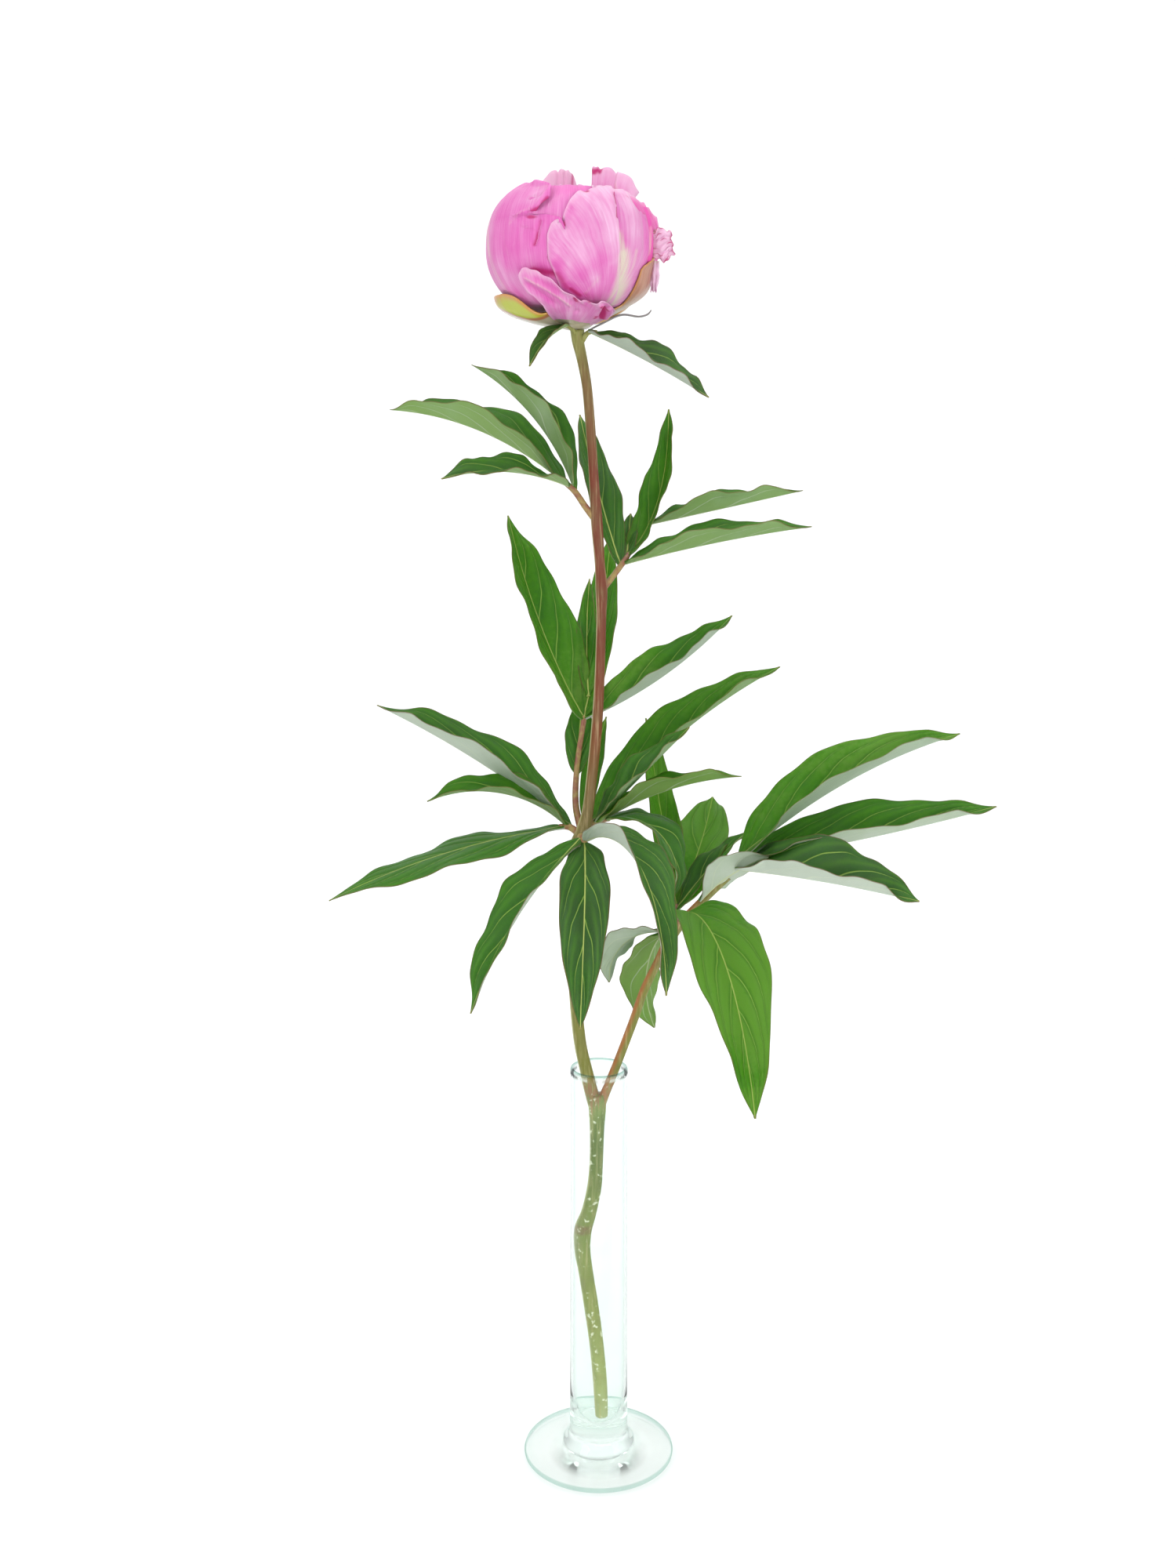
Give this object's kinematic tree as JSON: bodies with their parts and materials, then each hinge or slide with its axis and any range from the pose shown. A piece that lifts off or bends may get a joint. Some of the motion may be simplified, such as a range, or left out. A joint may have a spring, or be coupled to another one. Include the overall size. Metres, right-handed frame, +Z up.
{
  "type": "peony in a bud vase",
  "caption": "Half-open cut peony with divided leaves, standing in a slim clear glass bud vase on a wide flat round foot.",
  "frame": {"origin": "middle of the underside of the vase's foot", "axes": "+Z up along the vase, +X to the viewer's right, +Y away from the viewer"},
  "size_m": [0.2968, 0.196, 0.5822],
  "materials": {
    "vase_glass": "gloss",
    "stem": "satin",
    "leaf": "satin",
    "bract": "satin",
    "dry_bract": "matte",
    "sepal": "satin",
    "petal": "matte"
  },
  "bodies": {
    "root": {"vase": "vase_glass", "stem": "stem", "leaf_upper_left": "leaf", "leaf_upper_right": "leaf", "leaf_middle": "leaf", "leaf_lower_left": "leaf", "leaf_lower_front": "leaf", "leaf_lower_right": "leaf", "leaf_narrow_back": "leaf", "leaf_right_end": "leaf", "leaf_right_hanging": "leaf", "leaf_right_upright": "leaf", "leaf_right_under": "leaf", "bract_left": "bract", "bract_right": "bract", "bract_hook": "dry_bract", "calyx": "sepal", "bloom": "petal"}
  },
  "joints": []
}
